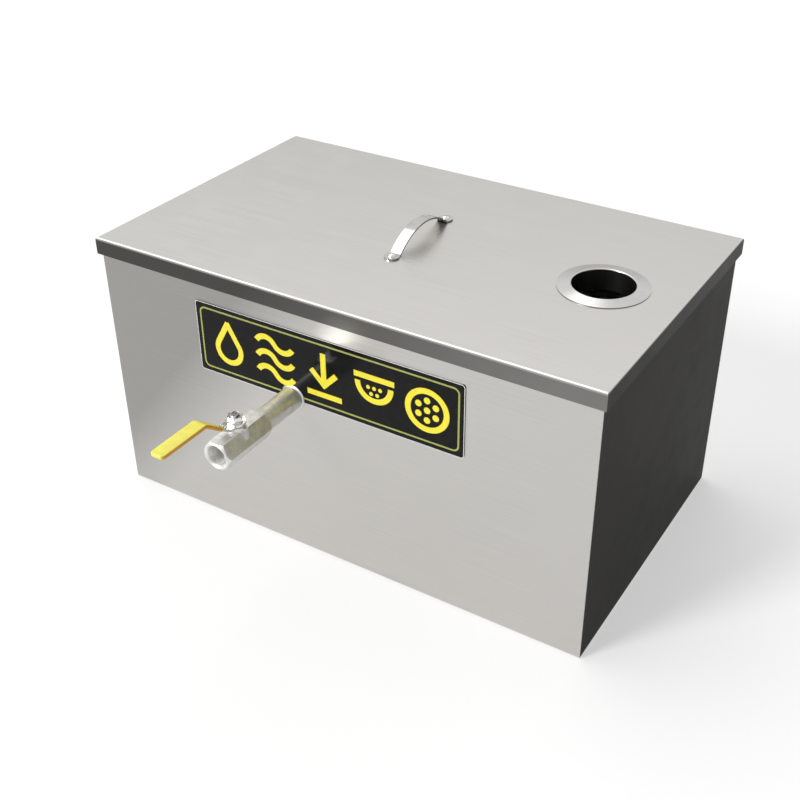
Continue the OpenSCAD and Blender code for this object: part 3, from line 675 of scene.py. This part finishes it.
class TRAP_OT_box(Operator):
    """Satin sheet on the tank, its ends, the lid, the baffles and the outlet"""
    bl_idname = "trap.box"
    bl_label = "Finish Box"

    def execute(self, context):
        steel = context.scene.trap.steel
        colour, roughness = tuple(steel.sheet), steel.sheet_roughness

        def front(tree):
            """Tone of the wrap: painted shade, a dark reflection painted on the front's upper left."""
            return painted_slant_shade(tree, steel.painted_left_shade)

        def rim(tree):
            """Tone of the lid: painted shade, dark on its skirt, darkest at the front's left."""
            along = painted_slant_shade(tree, 0.0, steel.painted_skirt_shade_reach)
            level = between(tree, along, steel.painted_skirt_left_shade * steel.painted_skirt_shade, steel.painted_skirt_shade, 0.0, 1.0)
            return folded(tree, level)

        dress(satin_sheet("satin_wrap_painted_shade", colour, roughness, GRAIN_X, front), "tank_wrap")
        # The right end is a much darker copy of the sheet with a dulled grazing shine: painted shade
        dress(satin_sheet("satin_right_end_painted_shade", tinted(colour, steel.painted_end_shade), roughness + 0.04, GRAIN_Y,
                          Specular_Tint=grey(0.45)), "end_panel_right")
        dress(satin_sheet("satin_left", tinted(colour, 0.9), roughness, GRAIN_Y), "end_panel_left")
        # The lid's top is a lighter copy of the sheet, painted light; its skirt and right side carry painted
        # shade
        dress(satin_sheet("satin_lid_painted_light_and_shade", tinted(colour, 1.21), roughness, GRAIN_X, rim, steel.painted_skirt_side_shade,
                          Specular_Tint=grey(0.6)), "lid")
        dress(satin_sheet("satin_inside", tinted(colour, 0.95), roughness + 0.03, GRAIN_Y),
              "inlet_baffle", "outlet_baffle", "basket_rails")
        dress(satin_sheet("satin_outlet", tinted(colour, 0.98), roughness, COARSE_X),
              "outlet_pipe", "dip_elbow")
        return {"FINISHED"}


class TRAP_OT_basket(Operator):
    """Bright perforated sheet and wire on the strainer basket"""
    bl_idname = "trap.basket"
    bl_label = "Finish Basket"

    def execute(self, context):
        colour = tuple(context.scene.trap.steel.polished)
        dress(satin_sheet("basket_sheet", colour, 0.26, COARSE_X),
              "basket_wrap", "basket_end_left", "basket_end_right")
        dress(polished_steel("basket_wire", colour, 0.18, 0.4 * MM), "basket_handles")
        return {"FINISHED"}


class TRAP_OT_fittings(Operator):
    """Spun collar, pressed handle and its fixings on the lid"""
    bl_idname = "trap.fittings"
    bl_label = "Finish Lid Fittings"

    def execute(self, context):
        colour = tuple(context.scene.trap.steel.polished)
        dress(spun_steel("collar_steel", tinted(colour, 0.80), 0.31, COLLAR_AXIS), "inlet_collar")
        # The handle's sides are darkened as painted shade
        dress(polished_steel("handle_steel", tinted(colour, 0.72), 0.14, 0.5 * MM, 0.30), "lid_handle")
        dress(polished_steel("fixing_steel", tinted(colour, 0.95), 0.16, 0.25 * MM),
              "handle_screws", "handle_nuts")
        return {"FINISHED"}


class TRAP_OT_valve(Operator):
    """Machined valve and pipe, with the thread in its mouth"""
    bl_idname = "trap.valve"
    bl_label = "Finish Valve"

    def execute(self, context):
        steel = context.scene.trap.steel
        colour, bright = tuple(steel.valve), tuple(steel.polished)
        body = machined_steel("valve_steel", tinted(colour, 1.10), 0.40, 0.6 * MM, 0.80)
        dress(body, "valve_body")
        dress(machined_steel("pipe_steel", tinted(colour, 1.15), 0.46, 0.6 * MM, 0.85), "drain_pipe")
        dress(polished_steel("bright_steel", bright, 0.14, 0.35 * MM),
              "valve_retainer", "valve_ball", "valve_stem", "gland_nut", "lever_washer", "lever_nut")
        dress(polished_steel("lever_steel", tinted(bright, 0.97), 0.20, 0.4 * MM), "lever")
        dress(seat_resin("seat_resin", tuple(steel.resin)), "valve_seats", "stem_packing")
        self.cut_thread(steel, body)
        return {"FINISHED"}

    def cut_thread(self, steel, material):
        """Helical ridge in the outlet's bore, spun with a lead."""
        bore = next(m for m in frame["record"]["mounts"] if m["name"] == "valve_outlet")
        radius, pitch = bore["dims"]["r_mm"] * MM, steel.thread_pitch
        inset, sunk = 1.6 * MM, 0.03 * MM
        turns, turn_steps = 5, 40
        crest, root = radius - steel.thread_height, radius + sunk
        mouth = VALVE_LOW.y + inset
        bm = bmesh.new()
        rows = ((root, 0.0), (crest, pitch * 0.36), (crest, pitch * 0.5), (root, pitch * 0.86))
        start = [bm.verts.new((PIPE_AXIS.x + r, mouth + along, STEM_AXIS.z)) for r, along in rows]
        edges = [bm.edges.new(pair) for pair in zip(start, start[1:])]
        bmesh.ops.spin(bm, geom=start + edges, cent=(PIPE_AXIS.x, mouth, STEM_AXIS.z), axis=(0.0, 1.0, 0.0),
                       dvec=(0.0, pitch / turn_steps, 0.0), angle=math.tau * turns, steps=turn_steps * turns)
        bmesh.ops.remove_doubles(bm, verts=bm.verts, dist=1e-6)
        bmesh.ops.recalc_face_normals(bm, faces=bm.faces)
        middle = Vector((PIPE_AXIS.x, 0.0, STEM_AXIS.z))
        inward = sum((f.calc_center_median() - middle).xz.dot(f.normal.xz) for f in bm.faces)
        if inward > 0:
            bmesh.ops.reverse_faces(bm, faces=bm.faces)
        shade_smooth(bm, math.radians(30))
        finished("mouth_thread", bm, material, "tank")


class TRAP_OT_sleeve(Operator):
    """Rounded vinyl sleeve along the lever's slope and grip"""
    bl_idname = "trap.sleeve"
    bl_label = "Make Lever Sleeve"

    def execute(self, context):
        settings = context.scene.trap.sleeve
        width, thick, corner = SLEEVE_HIGH.x - SLEEVE_LOW.x, settings.thickness, settings.corner
        grip_z = LEVER_HIGH.z - LEVER_THICK / 2
        bend_end = STEM_AXIS.y - BEND_TO_STEM
        bm = bmesh.new()
        bmesh.ops.create_grid(bm, x_segments=1, y_segments=1, size=0.5,
                              matrix=Matrix.Diagonal((width, thick, 1.0, 1.0)))
        bmesh.ops.bevel(bm, geom=list(bm.verts), offset=corner, offset_type="OFFSET", affect="VERTICES",
                        segments=5, profile=0.5, material=-1)
        # Section stands across the grip at the end of the bend, facing the tip
        place = Matrix.Translation((STEM_AXIS.x, bend_end, grip_z)) @ Matrix.Rotation(math.pi / 2, 4, "X")
        bmesh.ops.transform(bm, matrix=place, verts=bm.verts)
        section = list(bm.faces)[0]
        back = bmesh.ops.extrude_face_region(bm, geom=[section], use_keep_orig=True)
        root = [item for item in back["geom"] if isinstance(item, bmesh.types.BMFace)][0]
        # Grip and its tip, with round corners in plan and round edges
        round_r = settings.tip
        tip = self.push(bm, section, Vector((0.0, SLEEVE_LOW.y + round_r - bend_end, 0.0)))
        last = 0.0
        for degrees in (18, 36, 50, 62, 72, 80, 86):
            turn = math.radians(degrees)
            along = round_r * math.sin(turn)
            tip = self.push(bm, tip, Vector((0.0, last - along, 0.0)))
            half = width / 2 - round_r * (1 - math.cos(turn))
            inner = max(0.0, corner - round_r + along)
            tall = thick / 2 - corner + math.sqrt(corner ** 2 - inner ** 2)
            centre = tip.calc_center_median()
            before = max(v.co.x for v in tip.verts) - centre.x
            above = max(v.co.z for v in tip.verts) - centre.z
            bmesh.ops.scale(bm, verts=tip.verts, space=Matrix.Translation(-centre),
                            vec=(half / before, 1.0, tall / above))
            last = along
        # Bend down to the slope, then along it towards the hub
        pivot = Vector((STEM_AXIS.x, bend_end, grip_z - LEVER_BEND))
        ring = bmesh.ops.spin(bm, geom=[root], cent=pivot, axis=(1.0, 0.0, 0.0), angle=-LEVER_SLOPE, steps=8)
        foot = [item for item in ring["geom_last"] if isinstance(item, bmesh.types.BMFace)][0]
        self.push(bm, foot, SLOPE_RUN * Vector((0.0, math.cos(LEVER_SLOPE), -math.sin(LEVER_SLOPE))))
        bmesh.ops.remove_doubles(bm, verts=bm.verts, dist=1e-6)
        bmesh.ops.recalc_face_normals(bm, faces=bm.faces)
        shade_smooth(bm, math.radians(50))
        vinyl = dipped_vinyl("sleeve_vinyl", tuple(settings.face), tuple(settings.edge))
        sleeve = finished("sleeve_vinyl", bm, vinyl, "valve_lever")
        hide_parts("lever_sleeve")
        return {"FINISHED"}

    def push(self, bm, face, step):
        """Extrudes a section along a step and gives the new end."""
        made = bmesh.ops.extrude_face_region(bm, geom=[face])
        end = [item for item in made["geom"] if isinstance(item, bmesh.types.BMFace)][0]
        bmesh.ops.translate(bm, verts=end.verts, vec=step)
        if face.is_valid:
            bmesh.ops.delete(bm, geom=[face], context="FACES_ONLY")
        return end


class TRAP_OT_plate(Operator):
    """Gloss plate with its border line, a pale line along its outline and plain pictograms"""
    bl_idname = "trap.plate"
    bl_label = "Print Plate"

    def execute(self, context):
        plate = context.scene.trap.plate
        dress(gloss_plate("plate_gloss", tuple(plate.black)), "sign_plate")
        border = screen_ink("border_ink", tuple(plate.line), 0.35)
        self.line_round("plate_border", border, plate.ink_height, plate.border_inset, plate.border_corner,
                        plate.border_width, plate.border_gap)
        edge = screen_ink("plate_outline_pale", tuple(plate.rim), 0.4)
        self.line_round("plate_edge", edge, plate.ink_height, 0.0, plate.edge_corner,
                        plate.edge_width, plate.edge_gap)
        ink = screen_ink("pictogram_ink", tuple(plate.ink), 0.32)
        bm = bmesh.new()
        for index, draw in enumerate((draw_drop, draw_waves, draw_arrow, draw_strainer, draw_grate)):
            draw(bm, (index - 2) * plate.pitch, plate.stroke)
        finished("plate_pictograms", printed(bm, 1.5 * plate.ink_height), ink, "tank")
        return {"FINISHED"}

    def line_round(self, name, ink, raise_by, inset, radius, line, gap):
        """Line round the plate, inset from its edge and open at the drain pipe."""
        width, height = PLATE_HIGH.x - PLATE_LOW.x - 2 * inset, PLATE_HIGH.z - PLATE_LOW.z - 2 * inset
        notch = PIPE_AXIS.x - PLATE_MIDDLE.x
        bm = bmesh.new()
        rounded_ring(bm, width, height, radius, line, (notch - gap, notch + gap))
        finished(name, printed(bm, raise_by), ink, "tank")


class TRAP_OT_studio(Operator):
    """Pale floor, soft light and the camera"""
    bl_idname = "trap.studio"
    bl_label = "Set Studio"

    def execute(self, context):
        studio = context.scene.trap.studio
        self.lay_floor(studio)
        self.light_room(context.scene, studio)
        self.stand_camera(context.scene, studio)
        context.scene.view_settings.view_transform = "Standard"
        return {"FINISHED"}

    def lay_floor(self, studio):
        """Matt floor, a little larger than any view needs."""
        made, tree, shader = new_finish("floor_matt", Roughness=0.9, Specular_IOR_Level=0.1)
        cloud = noise(tree, spot(tree), scale=3.0, detail=2.0)
        colour = tuple(studio.floor)
        join(tree, shader, Base_Color=blended(tree, cloud, tinted(colour, 0.995), colour))
        white = put(tree, "ShaderNodeEmission", {"Strength": 1.0}).outputs[0]
        share = put(tree, "ShaderNodeMath", {0: seen_rays(tree), 1: studio.floor_white},
                    operation="MULTIPLY").outputs[0]
        mixed = put(tree, "ShaderNodeMixShader", {0: share, 1: shader.outputs[0], 2: white}).outputs[0]
        tree.links.new(mixed, tree.get_output_node("ALL").inputs["Surface"])
        bm = bmesh.new()
        bmesh.ops.create_grid(bm, x_segments=1, y_segments=1, size=studio.floor_size / 2)
        mesh = bpy.data.meshes.new("floor")
        bm.to_mesh(mesh)
        bm.free()
        mesh.materials.append(made)
        floor = bpy.data.objects.new("floor", mesh)
        bpy.context.scene.collection.objects.link(floor)

    def light_room(self, scene, studio):
        """Pale backdrop for the camera and the metal, fill from one side, a soft key and a light overhead."""
        world = bpy.data.worlds.new("soft_room")
        world.use_nodes = True
        tree = world.node_tree
        sky = next(n for n in tree.nodes if n.type == "BACKGROUND")
        towards = put(tree, "ShaderNodeTexCoord").outputs["Generated"]
        side = put(tree, "ShaderNodeVectorMath", {0: towards, 1: Vector(studio.fill_towards).normalized()},
                   operation="DOT_PRODUCT").outputs[1]
        height = put(tree, "ShaderNodeSeparateXYZ", {0: towards}).outputs[2]
        fill = between(tree, side, studio.fill_dark, studio.fill_bright, 0.05, 0.90)
        wall = put(tree, "ShaderNodeMath",
                   {0: between(tree, height, studio.wall_low, studio.wall_high, 0.0, 0.42),
                    1: between(tree, side, 0.80, 1.0, -0.5, 0.5)}, operation="MULTIPLY").outputs[0]
        shown = between(tree, seen_rays(tree), fill, wall, 0.0, 1.0)
        camera = put(tree, "ShaderNodeLightPath").outputs["Is Camera Ray"]
        tree.links.new(between(tree, camera, shown, studio.wall_high, 0.0, 1.0), sky.inputs["Strength"])
        sky.inputs["Color"].default_value = (1.0, 1.0, 1.0, 1.0)
        scene.world = world
        key = self.hang_lamp(scene, "key", studio.key_strength, studio.key_angle, studio.key_towards)
        self.shield(key, "lid")
        self.hang_lamp(scene, "top", studio.top_strength, studio.top_angle, studio.top_towards)

    def hang_lamp(self, scene, name, strength, angle, towards):
        """Soft far lamp in a direction."""
        light = bpy.data.lights.new(name, "SUN")
        light.energy, light.angle = strength, angle
        lamp = bpy.data.objects.new(name, light)
        lamp.rotation_euler = Vector(towards).to_track_quat("Z", "Y").to_euler()
        scene.collection.objects.link(lamp)
        return lamp

    def shield(self, lamp, *names):
        """Keeps a lamp's light off some nodes, as a flag on a stand does, against glare from behind."""
        group = bpy.data.collections.new(lamp.name + "_shield")
        for name in names:
            group.objects.link(NODES[name])
        for item in group.collection_objects:
            item.light_linking.link_state = "EXCLUDE"
        lamp.light_linking.receiver_collection = group

    def stand_camera(self, scene, studio):
        """Camera at the photograph's angle."""
        lens = bpy.data.cameras.new("camera")
        lens.lens = studio.lens
        lens.sensor_width = 36.0
        lens.shift_x, lens.shift_y = studio.shift
        lens.clip_start, lens.clip_end = 0.01, 60.0
        camera = bpy.data.objects.new("camera", lens)
        camera.location = studio.place
        camera.rotation_euler = (math.pi / 2 - studio.elevation, 0.0, studio.azimuth)
        scene.collection.objects.link(camera)
        scene.camera = camera


class TRAP_PT_dressing(Panel):
    """Steps and settings of the dressing"""
    bl_idname = "TRAP_PT_dressing"
    bl_label = "Grease Trap"
    bl_space_type = "VIEW_3D"
    bl_region_type = "UI"
    bl_category = "Grease Trap"

    def draw(self, context):
        settings = context.scene.trap
        for step in STEPS:
            self.layout.operator(step.bl_idname)
        for group in (settings.steel, settings.sleeve, settings.plate, settings.studio):
            box = self.layout.box()
            for key in group.bl_rna.properties.keys():
                if key not in ("rna_type", "name"):
                    box.prop(group, key)


STEPS = (TRAP_OT_box, TRAP_OT_basket, TRAP_OT_fittings, TRAP_OT_valve, TRAP_OT_sleeve, TRAP_OT_plate,
         TRAP_OT_studio)
CLASSES = (SteelSettings, SleeveSettings, PlateSettings, StudioSettings, TrapSettings, *STEPS,
           TRAP_PT_dressing)


def register():
    for made in CLASSES:
        bpy.utils.register_class(made)
    bpy.types.Scene.trap = PointerProperty(type=TrapSettings)


def unregister():
    del bpy.types.Scene.trap
    for made in reversed(CLASSES):
        bpy.utils.unregister_class(made)


def main():
    """Registers the add-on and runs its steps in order."""
    register()
    bpy.ops.trap.box()
    bpy.ops.trap.basket()
    bpy.ops.trap.fittings()
    bpy.ops.trap.valve()
    bpy.ops.trap.sleeve()
    bpy.ops.trap.plate()
    bpy.ops.trap.studio()
    bpy.context.view_layer.update()


if __name__ == "__main__":
    main()
